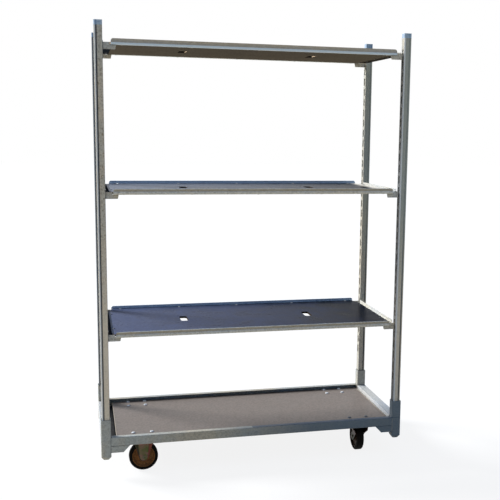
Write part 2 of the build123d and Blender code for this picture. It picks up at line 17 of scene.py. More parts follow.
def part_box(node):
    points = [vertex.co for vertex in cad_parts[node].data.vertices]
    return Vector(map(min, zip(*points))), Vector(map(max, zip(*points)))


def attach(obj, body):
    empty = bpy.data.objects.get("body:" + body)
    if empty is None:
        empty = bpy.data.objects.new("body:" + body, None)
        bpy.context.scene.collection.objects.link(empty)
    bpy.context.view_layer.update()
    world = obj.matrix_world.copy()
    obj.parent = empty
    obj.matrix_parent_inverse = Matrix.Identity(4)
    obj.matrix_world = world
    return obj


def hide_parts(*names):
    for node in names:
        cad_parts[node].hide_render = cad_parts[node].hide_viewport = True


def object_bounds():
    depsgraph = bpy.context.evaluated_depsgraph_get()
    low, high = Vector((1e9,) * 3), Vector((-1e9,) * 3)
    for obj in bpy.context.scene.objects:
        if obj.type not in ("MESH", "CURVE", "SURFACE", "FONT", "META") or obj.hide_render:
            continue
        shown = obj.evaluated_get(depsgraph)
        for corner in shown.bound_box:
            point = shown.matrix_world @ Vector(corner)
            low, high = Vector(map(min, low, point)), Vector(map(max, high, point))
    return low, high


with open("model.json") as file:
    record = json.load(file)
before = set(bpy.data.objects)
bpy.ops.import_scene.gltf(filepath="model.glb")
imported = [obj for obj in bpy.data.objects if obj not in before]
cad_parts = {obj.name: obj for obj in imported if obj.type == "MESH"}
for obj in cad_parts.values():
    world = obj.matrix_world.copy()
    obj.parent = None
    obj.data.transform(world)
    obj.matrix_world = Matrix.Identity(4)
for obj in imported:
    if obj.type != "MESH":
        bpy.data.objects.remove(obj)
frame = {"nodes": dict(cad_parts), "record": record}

MM = 0.001
cad_low, cad_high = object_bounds()
record = frame["record"]
body_of = {node: body for body, nodes in record["behaviour"]["bodies"].items() for node in nodes}
print("nodes", len(frame["nodes"]), "box", [round(v, 4) for v in (*cad_low, *cad_high)])

# %% [markdown]
# ## Camera
# The picture was taken from a little left of the trolley, at about chest height, with the camera
# tipped down and very slightly rolled. A camera is added at that place, and its turn is built from
# three plain angles: look level along +Y, tip down, swing to the right, and roll about its own axis.
# The picture is a crop, so the view's middle isn't the picture's middle, and a small shift says so.

# %% Set the camera
CAMERA_PLACE = (-0.7363, -3.9257, 1.488)
CAMERA_SWING = math.radians(14.70)
CAMERA_TIP = math.radians(8.76)
CAMERA_ROLL = math.radians(0.91)
IMAGE_SIZE = 500
FOCAL_PIXELS = 872.1
VIEW_CENTRE = (307.9, 262.5)

turn = (
    Matrix.Rotation(-CAMERA_SWING, 4, "Z")
    @ Matrix.Rotation(math.pi / 2 - CAMERA_TIP, 4, "X")
    @ Matrix.Rotation(CAMERA_ROLL, 4, "Z")
)
bpy.ops.object.select_all(action="DESELECT")
bpy.ops.object.camera_add(location=CAMERA_PLACE, rotation=turn.to_euler())
camera = bpy.context.object
camera.data.lens = camera.data.sensor_width * FOCAL_PIXELS / IMAGE_SIZE
camera.data.shift_x = (IMAGE_SIZE / 2 - VIEW_CENTRE[0]) / IMAGE_SIZE
camera.data.shift_y = (VIEW_CENTRE[1] - IMAGE_SIZE / 2) / IMAGE_SIZE
bpy.context.scene.camera = camera
print("lens", round(camera.data.lens, 2), "mm")

# %% [markdown]
# ## Colours and nodes
# Colours are picked as they look on screen, but the renderer adds up light in linear values, so one
# function turns a hex colour to linear. A second one adds a shader node: it sets the node's options,
# and each input is either filled in with a value or linked to another node, so that a material
# reads as a short list of steps.

# %% Helpers for materials
def linear(hex_colour):
    """A #rrggbb colour as linear red, green, blue and alpha."""
    channels = [int(hex_colour[i:i + 2], 16) / 255 for i in (1, 3, 5)]
    curve = [c / 12.92 if c <= 0.04045 else ((c + 0.055) / 1.055) ** 2.4 for c in channels]
    return (*curve, 1.0)


def add_node(tree, kind, inputs=None, stops=None, **options):
    """Adds one node, by Blender's name for its kind without the ShaderNode before it. An input given as
    a node or a socket is linked, any other value is filled in."""
    node = tree.nodes.new("ShaderNode" + kind)
    for name, value in options.items():
        setattr(node, name, value)
    for name, value in (inputs or {}).items():
        sockets = [s for s in node.inputs if s.enabled and s.name == name]
        socket = sockets[0] if sockets else node.inputs[name]
        if isinstance(value, bpy.types.Node):
            value = next(s for s in value.outputs if s.enabled)
        if isinstance(value, bpy.types.NodeSocket):
            tree.links.new(value, socket)
        else:
            socket.default_value = value
    if stops:
        ramp = node.color_ramp.elements
        while len(ramp) < len(stops):
            ramp.new(1.0)
        for element, (position, colour) in zip(ramp, stops):
            element.position = position
            element.color = linear(colour)
    return node


def new_material(name):
    """An empty node material, its tree, and the piece's own coordinates in metres: the whole point, and
    its X, Y and Z."""
    material = bpy.data.materials.new(name)
    material.use_nodes = True
    tree = material.node_tree
    tree.nodes.clear()
    point = add_node(tree, "TexCoord").outputs["Object"]
    along = add_node(tree, "SeparateXYZ", {"Vector": point})
    place = {axis: along.outputs[axis] for axis in "XYZ"}
    place["point"] = point
    return material, tree, place


def surface(tree, inputs):
    """Ends a material with one shader that has these inputs."""
    shader = add_node(tree, "BsdfPrincipled", inputs)
    add_node(tree, "OutputMaterial", {"Surface": shader})


def per_metre(size_mm):
    """The texture scale at which one cell or one wave of a pattern is that many millimetres."""
    return 1000 / size_mm


print("white is", linear("#ffffff"))

# %% [markdown]
# ## Light and floor
# A pale studio with one broad light, low behind the left end, as late daylight would fall: it
# brightens what faces left and up and leaves the front in shade. The world fills that shade with a
# cool sky that is deep at the horizon and pale overhead, and the sand-coloured floor throws warm
# light back up at the front. To the camera and in reflections, world and floor are white; the floor
# keeps a share of plain paint there, so the trolley's shadow stays on it.

# %% Build the studio
WHITE = (1.0, 1.0, 1.0, 1.0)
KEY_FROM = Vector((-0.69, 0.526, 0.496))
KEY_DISTANCE = 4.0
KEY_STRENGTH = 5.0
KEY_SOFTNESS = math.radians(20)
FILL_STRENGTH = 0.5
SKY_STOPS = [(0.0, "#4f6c96"), (0.4, "#86abdd"), (1.0, "#d5e6ff")]


def turned_along(direction):
    """The turn that points a lamp along a direction."""
    return direction.to_track_quat("-Z", "Y").to_euler()


key_place = KEY_DISTANCE * KEY_FROM
bpy.ops.object.light_add(type="SUN", location=key_place, rotation=turned_along(-KEY_FROM))
key_light = bpy.context.object
key_light.name = "left_light"
key_light.data.energy = KEY_STRENGTH
key_light.data.angle = KEY_SOFTNESS
key_light.data.color = WHITE[:3]


def seen_ray(tree):
    """One for rays that show a surface to the eye, straight, mirrored or through glass, else nought."""
    ray = add_node(tree, "LightPath")
    seen = ray.outputs["Is Camera Ray"]
    for kind in ("Is Glossy Ray", "Is Transmission Ray"):
        seen = add_node(tree, "Math", {0: seen, 1: ray.outputs[kind]}, operation="MAXIMUM")
    return seen


world = bpy.data.worlds.new("studio")
world.use_nodes = True
bpy.context.scene.world = world
sky = world.node_tree
sky.nodes.clear()
towards = add_node(sky, "TexCoord").outputs["Generated"]
height = add_node(sky, "SeparateXYZ", {"Vector": towards}).outputs["Z"]
sky_blue = add_node(sky, "ValToRGB", {"Fac": height}, stops=SKY_STOPS)
fill = add_node(sky, "Background", {"Color": sky_blue, "Strength": FILL_STRENGTH})
backdrop = add_node(sky, "Background", {"Color": WHITE, "Strength": 1.0})
either = add_node(sky, "MixShader", {0: seen_ray(sky), 1: fill, 2: backdrop})
add_node(sky, "OutputWorld", {"Surface": either})
print("lights", key_light.name, world.name)

# %% Lay the floor
FLOOR_SIZE = 60.0
MOTTLE_MM = 900
FLOOR_GLOW = 0.87
FLOOR_COAT = "#6b6b6b"
SAND_STOPS = [(0.3, "#d6c6a8"), (0.7, "#e0d2b6")]
bpy.ops.object.select_all(action="DESELECT")
bpy.ops.mesh.primitive_plane_add(size=FLOOR_SIZE, location=(0, 0, 0))
floor = bpy.context.object
floor.name = "studio_floor"
paint, tree, place = new_material("pale_studio_paint")
mottle = add_node(tree, "TexNoise", {"Vector": place["point"], "Scale": per_metre(MOTTLE_MM)})
sand = add_node(tree, "ValToRGB", {"Fac": mottle}, stops=SAND_STOPS)
# What the trolley receives from below is the warm light of sand in the sun.
ground = add_node(tree, "BsdfDiffuse", {"Color": sand})
# To the eye the floor is a white glow, and a thin coat of paint on it that the shadow falls on.
glow = add_node(tree, "Emission", {"Color": WHITE, "Strength": FLOOR_GLOW})
coat = add_node(tree, "BsdfDiffuse", {"Color": linear(FLOOR_COAT)})
lit_coat = add_node(tree, "AddShader", {0: glow, 1: coat})
either = add_node(tree, "MixShader", {0: seen_ray(tree), 1: ground, 2: lit_coat})
add_node(tree, "OutputMaterial", {"Surface": either})
floor.data.materials.append(paint)
bpy.context.scene.view_settings.view_transform = "Standard"
print("floor", FLOOR_SIZE, "m")

# %% [markdown]
# ## Galvanised steel
# Posts, sockets, rails and rims are steel dipped in molten zinc. The zinc freezes in crystals a
# few millimetres across, called spangle, each a slightly different grey, and weather dulls it in
# warm and cool patches. Cells of a Voronoi texture make the spangle, wide noise makes the weather,
# noise stretched along the bar makes the drawn streaks, and a short ambient occlusion darkens the
# grooves and corners, partly as grime and partly as painted shade. Weathered zinc scatters more
# light than it mirrors, so it is mixed part way between a paint and a metal.

# %% Galvanised steel
SPANGLE_MM = 7
WEATHER_MM = 190
STREAK_WIDTH_MM, STREAK_LENGTH_MM = 4, 240
PIT_MM = 6  # the real pits are 1 to 2 mm, drawn coarser so that they show
GRAIN_MM, GRAIN_DEPTH = 2.5, 0.2 * MM
FAINT_PITS, DEEP_PITS = "#e2e0dc", "#c2bbae"
WEATHERED_SHINE, FRESH_SHINE = 0.05, 0.4
ALONG_X, ALONG_Y, ALONG_Z = 0, 1, 2


def tinted(tree, place, colour, patches):
    """A colour, and over it other colours, in order, where masks say so."""
    for mask, tint in patches:
        layer = {"Factor": mask(tree, place), "A": colour, "B": linear(tint)}
        colour = add_node(tree, "Mix", layer, data_type="RGBA")
    return colour


def galvanised_steel(
    name, cool, warm, streak_axis, shade_and_grime_mm, patches=(), pitted=FAINT_PITS, fresh=None, gloss=0.12
):
    """Weathered zinc, streaked along one axis, darker in hollows as grime and painted shade, other
    colours where masks say so, and more of its metal shine where a mask says that it is fresh."""
    material, tree, place = new_material(name)
    point = place["point"]
    spangle = add_node(tree, "TexVoronoi", {"Vector": point, "Scale": per_metre(SPANGLE_MM)})
    facet = add_node(tree, "SeparateColor", {"Color": spangle.outputs["Color"]})
    stretch = [per_metre(STREAK_WIDTH_MM)] * 3
    stretch[streak_axis] = per_metre(STREAK_LENGTH_MM)
    along = add_node(tree, "Mapping", {"Vector": point, "Scale": stretch})
    streak = add_node(tree, "TexNoise", {"Vector": along, "Scale": 1.0, "Detail": 3.0})
    marks = add_node(tree, "Mix", {"Factor": 0.5, "A": facet, "B": streak})
    wide = {"Vector": point, "Scale": per_metre(WEATHER_MM), "Detail": 4.0, "Roughness": 0.6}
    weather = add_node(tree, "TexNoise", wide)
    small = {"Vector": point, "Scale": per_metre(PIT_MM), "Detail": 3.0}
    pit = add_node(tree, "TexNoise", small)
    # Ambient occlusion darkens hollows and corners: partly grime, partly painted shade.
    hollow = add_node(tree, "AmbientOcclusion", {"Distance": shade_and_grime_mm * MM}, samples=6)
    colour = add_node(tree, "ValToRGB", {"Fac": weather}, stops=[(0.38, cool), (0.62, warm)])
    layers = (
        (marks, [(0.25, "#e6e6e6"), (0.7, "#ffffff")]),
        (pit, [(0.33, pitted), (0.45, "#ffffff")]),
        (hollow.outputs["AO"], [(0.5, "#2e3036"), (0.94, "#ffffff")]),
    )
    for pattern, stops in layers:
        shadow = add_node(tree, "ValToRGB", {"Fac": pattern}, stops=stops)
        both = {"Factor": 1.0, "A": colour, "B": shadow}
        colour = add_node(tree, "Mix", both, data_type="RGBA", blend_type="MULTIPLY")
    colour = tinted(tree, place, colour, patches)
    span = {"From Min": 0.2, "From Max": 0.8, "To Min": 0.36, "To Max": 0.52}
    dull_and_shade = add_node(tree, "MapRange", {"Value": marks, **span})
    shine = WEATHERED_SHINE
    if fresh:
        reach = {"Value": fresh(tree, place), "To Min": WEATHERED_SHINE, "To Max": FRESH_SHINE}
        shine = add_node(tree, "MapRange", reach)
    fine = {"Vector": point, "Scale": per_metre(GRAIN_MM), "Detail": 2.0}
    grain = add_node(tree, "TexNoise", fine)
    bump = add_node(tree, "Bump", {"Height": grain, "Strength": 0.12, "Distance": GRAIN_DEPTH})
    finish = {"Base Color": colour, "Roughness": dull_and_shade, "Normal": bump, "Metallic": shine}
    surface(tree, {**finish, "Specular IOR Level": gloss})
    return material


print("spangle", SPANGLE_MM, "mm, pits", PIT_MM, "mm")

# %% [markdown]
# ## Painted light and shade
# Some colours below are painted light and shade. On the posts, a painted highlight runs along the
# front left corner, the tops carry painted sky, the rolled groove and the slotted side carry painted
# shade, and painted warm floor light brightens them low down. Towards the right end, rails, posts
# and the front castor carry painted shade in a bluer grey, and a painted shadow lies along the front
# rail's top. The gutter beside the deck, the shelves' end channels and the rims' creases carry painted
# shade, the rims' inner sides and the upper rim's foot painted sky light, and the upper rim's web
# painted warm light. Paint by hand would need an image, so each place is a mask worked out from the
# piece's own coordinates: a few sums that give a share where the colour goes and nought elsewhere.

# %% Tools for masks
post_low, post_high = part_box("post_rear_right")
post_middle = (post_low + post_high) / 2
lower_rim_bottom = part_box("lower_shelf_front_rim")[0].z
shelf_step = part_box("middle_shelf_front_rim")[0].z - lower_rim_bottom
COUNTED_BELOW = 20 * MM


def where(tree, ranges, share=1.0):
    """A share where each value lies between its two bounds, and nought elsewhere. None is no bound."""
    covered = share
    for value, above, below in ranges:
        for test, bound in (("GREATER_THAN", above), ("LESS_THAN", below)):
            if bound is not None:
                inside = add_node(tree, "Math", {0: value, 1: bound}, operation=test)
                covered = add_node(tree, "Math", {0: inside, 1: covered}, operation="MULTIPLY")
    return covered


def height_on_shelf(tree, place):
    """Height above a rim's lower edge. The three shelves hang at an even step, so one sum does for all.
    It counts from a little lower, so that the lowest edge itself doesn't fall to the shelf below."""
    counted_from = lower_rim_bottom - COUNTED_BELOW
    above = add_node(tree, "Math", {0: place["Z"], 1: counted_from}, operation="SUBTRACT")
    on_this = add_node(tree, "Math", {0: above, 1: shelf_step}, operation="FLOORED_MODULO")
    return add_node(tree, "Math", {0: on_this, 1: COUNTED_BELOW}, operation="SUBTRACT")


def out_from_middle(tree, place, axis):
    """Distance from the trolley's middle plane, the same on both sides."""
    return add_node(tree, "Math", {0: place[axis]}, operation="ABSOLUTE")


def out_from_post(tree, place):
    """Distance outwards from a post's own middle plane, and less than nought on its slotted side."""
    aside = out_from_middle(tree, place, "X")
    return add_node(tree, "Math", {0: aside, 1: post_middle.x}, operation="SUBTRACT")


print("shelves hang", round(shelf_step / MM), "mm apart")

# %% Masks for the posts
POST_HALF = 17 * MM
SLOTTED_SIDE = 1 * MM - POST_HALF
HIGHLIGHT_WIDTH, FACE_DEPTH, HIGHLIGHT_SHARE = 6.5 * MM, 2.5 * MM, 0.8
GROOVE_FROM, GROOVE_TO, GROOVE_SHARE = 4.5 * MM, 10.5 * MM, 0.85
EDGE_SHARE = 0.7
SHADED_BELOW, SLOT_SHADE_SHARE = 1.815, 0.6
TOPS_ABOVE, TOPS_SKY_SHARE = 1.88, 0.6
FRONT_FACE = FACE_DEPTH - POST_HALF - post_middle.y
BOUNCE_FULL_BELOW, BOUNCE_NONE_ABOVE, BOUNCE_SHARE = 0.55, 1.15, 0.65
RIGHT_SHADE_FROM, RIGHT_SHADE_TO, RIGHT_SHADE_SHARE = -0.2, 0.25, 0.8


def highlight_on_the_corners(tree, place):
    """Along a front post's left corner: a painted highlight."""
    end = add_node(tree, "Math", {0: place["X"]}, operation="SIGN")
    middle = add_node(tree, "Math", {0: end, 1: post_middle.x}, operation="MULTIPLY")
    beside = add_node(tree, "Math", {0: place["X"], 1: middle}, operation="SUBTRACT")
    across = out_from_middle(tree, place, "Y")
    sideways = add_node(tree, "Math", {0: across, 1: post_middle.y}, operation="SUBTRACT")
    sideways = add_node(tree, "Math", {0: sideways}, operation="ABSOLUTE")
    left = (beside, None, HIGHLIGHT_WIDTH - POST_HALF)
    at_corner = (sideways, POST_HALF - FACE_DEPTH, None)
    return where(tree, [left, at_corner, (place["Y"], None, 0.0)], HIGHLIGHT_SHARE)


def shade_in_the_groove(tree, place):
    """Along the groove that is rolled into a post: painted shade."""
    return where(tree, [(out_from_post(tree, place), GROOVE_FROM, GROOVE_TO)], GROOVE_SHARE)


def shaded_rear_left_edge(tree, place):
    """On the rear left post's outer edge: painted shade in a blue grey."""
    edge = (out_from_post(tree, place), GROOVE_FROM, None)
    return where(tree, [edge, (place["X"], None, 0.0), (place["Y"], 0.0, None)], EDGE_SHARE)


def shade_by_the_slots(tree, place):
    """On a front post's slotted side below the upper shelf: painted shade."""
    side = (out_from_post(tree, place), None, SLOTTED_SIDE)
    below, front = (place["Z"], None, SHADED_BELOW), (place["Y"], None, 0.0)
    return where(tree, [side, below, front], SLOT_SHADE_SHARE)


def bounce_low_on_the_posts(tree, place):
    """On the front posts' front faces, rising to a share towards the floor: painted warm light from the
    floor.
    """
    reach = {"Value": place["Z"], "From Min": BOUNCE_NONE_ABOVE, "From Max": BOUNCE_FULL_BELOW}
    low = add_node(tree, "MapRange", {**reach, "To Max": BOUNCE_SHARE})
    return where(tree, [(place["Y"], None, FRONT_FACE)], low)


def sky_on_the_post_tops(tree, place):
    """On the posts' ends: a painted reflection of pale blue sky."""
    return where(tree, [(place["Z"], TOPS_ABOVE, None)], TOPS_SKY_SHARE)


def shade_towards_the_right(tree, place):
    """Rises from nought left of the middle to a share right of it: painted shade, darker and bluer."""
    reach = {"Value": place["X"], "From Min": RIGHT_SHADE_FROM, "From Max": RIGHT_SHADE_TO}
    return add_node(tree, "MapRange", {**reach, "To Max": RIGHT_SHADE_SHARE})


def shaded_right_posts(tree, place):
    """On the right posts, the painted shade of the right end, less towards the floor and not on their
    slotted sides.
    """
    reach = {"Value": place["Z"], "From Min": BOUNCE_FULL_BELOW, "From Max": BOUNCE_NONE_ABOVE}
    high = add_node(tree, "MapRange", reach)
    dull_and_shade = shade_towards_the_right(tree, place)
    right_shade = add_node(tree, "Math", {0: dull_and_shade, 1: high}, operation="MULTIPLY")
    return where(tree, [(out_from_post(tree, place), SLOTTED_SIDE, None)], right_shade)


# Prints where the painted floor light on the posts fades out, and where the painted shade towards the
# right end rises.
print("dust below", BOUNCE_NONE_ABOVE, "m, dull zinc from", RIGHT_SHADE_FROM, "to", RIGHT_SHADE_TO, "m")

# %% Masks for the base and the shelves
RAIL_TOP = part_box("front_rail")[1].z - 0.5 * MM
RAIL_TOP_DEPTH = 2 * MM
RAIL_SHADOW_FROM, RAIL_SHADOW_SHARE = -0.02, 0.65
GUTTER_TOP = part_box("deck_board")[1].z - 15 * MM
CREASE_LOW, CREASE_HIGH, CREASE_SHARE = 13 * MM, 21.5 * MM, 0.6
RIM_INSIDE, RIM_OUTSIDE = 277.6 * MM, 278.5 * MM
PANEL_TOP, RIM_SKY_SHARE = 10.8 * MM, 0.75
FOOT_TOP, FOOT_SKY_SHARE, WARM_LIGHT_SHARE = 8 * MM, 0.85, 0.55
UNDERSIDE, CHANNEL_DEPTH = 1 * MM, 17 * MM


def shade_front_right(tree, place):
    """As the painted shade towards the right, but on the front half only."""
    return where(tree, [(place["Y"], None, 0.0)], shade_towards_the_right(tree, place))


def shadow_on_the_rail_top(tree, place):
    """On top of the front rail's right half: a painted shadow."""
    top = (place["Z"], RAIL_TOP, RAIL_TOP + RAIL_TOP_DEPTH)
    return where(tree, [top, (place["X"], RAIL_SHADOW_FROM, None), (place["Y"], None, 0.0)], RAIL_SHADOW_SHARE)


def shade_in_the_gutter(tree, place):
    """In the gutter between the deck and the end rails: painted shade."""
    return where(tree, [(place["Z"], None, GUTTER_TOP)])


def shade_in_the_crease(tree, place):
    """Between a rim's bead and its hem, on the outer side: painted shade."""
    drips = (height_on_shelf(tree, place), CREASE_LOW, CREASE_HIGH)
    return where(tree, [drips, (out_from_middle(tree, place, "Y"), RIM_OUTSIDE, None)], CREASE_SHARE)


def inside_the_rim(tree, place):
    """On a rim's inner side above the panel: painted blue sky light, and more metal shine."""
    above = (height_on_shelf(tree, place), PANEL_TOP, None)
    return where(tree, [above, (out_from_middle(tree, place, "Y"), None, RIM_INSIDE)], RIM_SKY_SHARE)


def sky_on_the_foot(tree, place):
    """On the lower part of a rim: painted pale blue sky light."""
    return where(tree, [(height_on_shelf(tree, place), None, FOOT_TOP)], FOOT_SKY_SHARE)


def warm_light_above_the_foot(tree, place):
    """On the rest of the rim: painted warm light from the floor."""
    return where(tree, [(height_on_shelf(tree, place), FOOT_TOP, None)], WARM_LIGHT_SHARE)


def shade_under_the_channel(tree, place):
    """On the underside of a shelf's end channel: painted shade."""
    return where(tree, [(height_on_shelf(tree, place), None, UNDERSIDE)])


def shade_in_the_channel(tree, place):
    """Down in a shelf's end channel, and under it: painted shade."""
    return where(tree, [(height_on_shelf(tree, place), None, CHANNEL_DEPTH)])


# Prints the height below which the gutter gets painted shade.
print("soil below", round(GUTTER_TOP, 3), "m beside the deck")

# %% Galvanised pieces
END_ZINC = ("#c6ccd2", "#ccccc8")
# Painted light and shade on the posts: warm floor light low down, shade in the groove, on the rear left
# edge, on the right posts and by the slots, a highlight along the front left corner, and sky on the
# tops.
on_posts = [
    (bounce_low_on_the_posts, "#efe4d0"),
    (shade_in_the_groove, "#1f2c3c"),
    (shaded_rear_left_edge, "#44566a"),
    (shaded_right_posts, "#9ca6a3"),
    (highlight_on_the_corners, "#e2eaf0"),
    (shade_by_the_slots, "#2c3a4e"),
    (sky_on_the_post_tops, "#9cc2e8"),
]
# Painted shade on the front of the base's right end, and a painted shadow along the front rail's top.
on_rails = [(shade_front_right, "#5f7180"), (shadow_on_the_rail_top, "#27405c")]
# Painted shade in the rims' crease, and painted sky light on their inner side.
on_rims = [(shade_in_the_crease, "#94835f"), (inside_the_rim, "#9cc0e6")]
# Painted warm floor light on the upper rim, and painted sky light on its foot.
on_upper_rim = [(warm_light_above_the_foot, "#a99b80"), (sky_on_the_foot, "#cfe6fc")]
# Painted shade in the gutter beside the deck, down in and under the left end channels, and under the
# right ones.
shade_in_gutters = [(shade_in_the_gutter, "#161b24")]
shade_in_channels = [(shade_in_the_channel, "#141c28")]
shade_under_channels = [(shade_under_the_channel, "#332d26")]
post_steel = galvanised_steel(
    "galvanised_post_steel", "#c0c1ba", "#d3cab8", ALONG_Z, 7, on_posts, DEEP_PITS
)
rail_steel = galvanised_steel("galvanised_rail_steel", "#b4bab8", "#c3bdac", ALONG_X, 5, on_rails)
rim_steel = galvanised_steel(
    "galvanised_rim_steel", "#d6dad8", "#dedace", ALONG_X, 2.5, on_rims, fresh=inside_the_rim
)
upper_rim_steel = galvanised_steel(
    "galvanised_upper_rim_steel", "#ccd2d6", "#d4d1c8", ALONG_X, 2.5, on_upper_rim
)
hook_steel = galvanised_steel(
    "galvanised_hook_steel", "#c0c4c4", "#cfc6b2", ALONG_X, 5, pitted=DEEP_PITS
)
gutter_steel = galvanised_steel("shaded_end_rail_steel", *END_ZINC, ALONG_Y, 3, shade_in_gutters)
channel_steel = galvanised_steel(
    "shaded_shelf_end_steel", *END_ZINC, ALONG_Y, 3, shade_in_channels, gloss=0.0
)
right_end_steel = galvanised_steel(
    "galvanised_shelf_end_steel", "#d8dad8", "#e0dcd0", ALONG_Y, 2, shade_under_channels, gloss=0.0
)
print("zinc", post_steel.name, rail_steel.name, rim_steel.name, hook_steel.name, gutter_steel.name)

# %% [markdown]
# ## Zinc plate
# Bolts, nuts and kingpins are plated bright and a little blue. Forks and axles are plated too, and
# then passivated, which leaves a film so thin that it shows red, straw and olive patches. A wide noise
# drawn through a ramp of those colours gives the same drift of hues. The rivets are bare aluminium
# and the bearings ground steel: the same steps, with greys in the ramp, give those as well.

# %% Plated metals
fork_low, fork_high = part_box("fixed_fork_front")
fork_middle = (fork_low + fork_high) / 2
LEG_FACE = 244.2 * MM
BESIDE_SHARE = 0.8


def shadow_left_of_the_boss(tree, place):
    """On a fixed fork's flat legs, left of the boss pressed out of their middle: a painted shadow."""
    flat = (out_from_middle(tree, place, "Y"), None, LEG_FACE)
    return where(tree, [flat, (place["X"], None, fork_middle.x)], BESIDE_SHARE)


def right_of_the_boss(tree, place):
    """On the same legs, right of the boss, where the passivation has stayed red."""
    flat = (out_from_middle(tree, place, "Y"), None, LEG_FACE)
    return where(tree, [flat, (place["X"], fork_middle.x, 0.0)], BESIDE_SHARE)


def plated_metal(
    name, stops, patch_mm, roughness, scuff_mm, metallic, fade=0.0, specular=0.5, patches=()
):
    """Plated or bare metal: colours that drift, and fade from high to low, with fine scuffs in the
    gloss, and other colours where masks say so."""
    material, tree, place = new_material(name)
    patchy = {"Scale": per_metre(patch_mm), "Detail": 3.0, "Distortion": 0.6}
    drift = add_node(tree, "TexNoise", {"Vector": place["point"], **patchy})
    reach = {"Value": place["Z"], "From Min": fork_low.z, "From Max": fork_high.z}
    low_down = add_node(tree, "MapRange", {**reach, "To Min": fade, "To Max": -fade})
    tone = add_node(tree, "Math", {0: drift, 1: low_down}, operation="ADD")
    film = add_node(tree, "ValToRGB", {"Fac": tone}, stops=stops)
    film = tinted(tree, place, film, patches)
    fine = {"Scale": per_metre(scuff_mm), "Detail": 4.0}
    scuff_and_left_light = add_node(tree, "TexNoise", {"Vector": place["point"], **fine})
    span = {"From Min": 0.3, "From Max": 0.7, "To Min": roughness - 0.07, "To Max": roughness + 0.1}
    gloss = add_node(tree, "MapRange", {"Value": scuff_and_left_light, **span})
    finish = {"Base Color": film, "Roughness": gloss, "Metallic": metallic}
    surface(tree, {**finish, "Specular IOR Level": specular})
    return material


fork_zinc = plated_metal(
    "passivated_zinc",
    [(0.3, "#9a5448"), (0.42, "#836259"), (0.52, "#6c6048"), (0.62, "#505c30"), (0.74, "#454f2b")],
    patch_mm=38,
    roughness=0.42,
    scuff_mm=5,
    metallic=0.3,
    fade=0.16,
    specular=0.15,
    # Painted shadow left of the boss, red passivation right of it, and painted shade on the front right
    # fork.
    patches=[(shadow_left_of_the_boss, "#1c1512"), (right_of_the_boss, "#7a3a34"), (shade_front_right, "#0c0a08")],
)
bright_zinc = plated_metal(
    "bright_zinc",
    [(0.3, "#c4cad0"), (0.7, "#e6e8e8")],
    patch_mm=12,
    roughness=0.4,
    scuff_mm=3,
    metallic=0.06,
    specular=0.1,
    # Painted shade on the front right castor's bright parts.
    patches=[(shade_front_right, "#10202e")],
)
satin, soiled = [(0.3, "#b6b8ba"), (0.7, "#d2d2d0")], [(0.3, "#3c4048"), (0.7, "#565a60")]
olive, ground = [(0.3, "#3f4028"), (0.7, "#5f5c40")], [(0.3, "#84827e"), (0.7, "#a6a5a2")]
rivet_metal = plated_metal("satin_aluminium", satin, 10, 0.34, 2, 0.3)
shaded_rivet_metal = plated_metal("shaded_aluminium", soiled, 10, 0.6, 2, 0.1)
olive_zinc = plated_metal("olive_zinc", olive, 9, 0.45, 2, 0.2)
bearing_metal = plated_metal("ground_bearing_steel", ground, 8, 0.3, 1.5, 1.0)
print("plate", fork_zinc.name, bright_zinc.name, rivet_metal.name, olive_zinc.name, bearing_metal.name)

# %% [markdown]
# ## Film-faced plywood
# Deck and shelves are birch plywood pressed between sheets of resin-soaked paper. The film is dark
# and smooth on top of the shelves and a dull brown below; on the deck, boots and pots have scoured
# it to a dusty grey brown and worn a pale line along its edge. At the cut edges the plies show as
# thin layers. A board gets three finishes, one for each way that its faces look, because a film
# that is glossy above and dull below can't be one shader.

# %% Film and cut edges
PLY_MM = 2.8  # real plies are about 1.4 mm, drawn twice as thick so that they show
DUST_MM = 9
CLOUDED = 0.55
RESIN_IOR = 1.5


def film_face(name, dark, light, roughness, mark_mm, specular, patches=(), lit_left=0.0):
    """Resin film with cloudy marks, paler towards the left end by a share as painted reflection, and
    other colours where masks say so."""
    material, tree, place = new_material(name)
    cloudy = {"Scale": per_metre(mark_mm), "Detail": 6.0, "Roughness": 0.62, "Distortion": 0.3}
    marks = add_node(tree, "TexNoise", {"Vector": place["point"], **cloudy})
    reach = {"Value": place["X"], "From Min": cad_low.x, "From Max": cad_high.x}
    scuff_and_left_light = add_node(tree, "MapRange", {**reach, "To Min": lit_left, "To Max": -lit_left})
    calm = add_node(tree, "Math", {0: marks, 1: CLOUDED, 2: scuff_and_left_light}, operation="MULTIPLY_ADD")
    tone = add_node(tree, "Math", {0: calm, 1: (1 - CLOUDED) / 2}, operation="ADD")
    colour = add_node(tree, "ValToRGB", {"Fac": tone}, stops=[(0.2, dark), (0.8, light)])
    fine = {"Scale": per_metre(DUST_MM), "Detail": 4.0}
    speck = add_node(tree, "TexNoise", {"Vector": place["point"], **fine})
    specks = [(0.35, "#dedede"), (0.65, "#ffffff")]
    dust = add_node(tree, "ValToRGB", {"Fac": speck}, stops=specks)
    both = {"Factor": 1.0, "A": colour, "B": dust}
    colour = add_node(tree, "Mix", both, data_type="RGBA", blend_type="MULTIPLY")
    colour = tinted(tree, place, colour, patches)
    span = {"From Min": 0.3, "From Max": 0.7, "To Min": roughness - 0.06, "To Max": roughness + 0.08}
    gloss = add_node(tree, "MapRange", {"Value": marks, **span})
    finish = {"Base Color": colour, "Roughness": gloss, "IOR": RESIN_IOR}
    surface(tree, {**finish, "Specular IOR Level": specular})
    return material


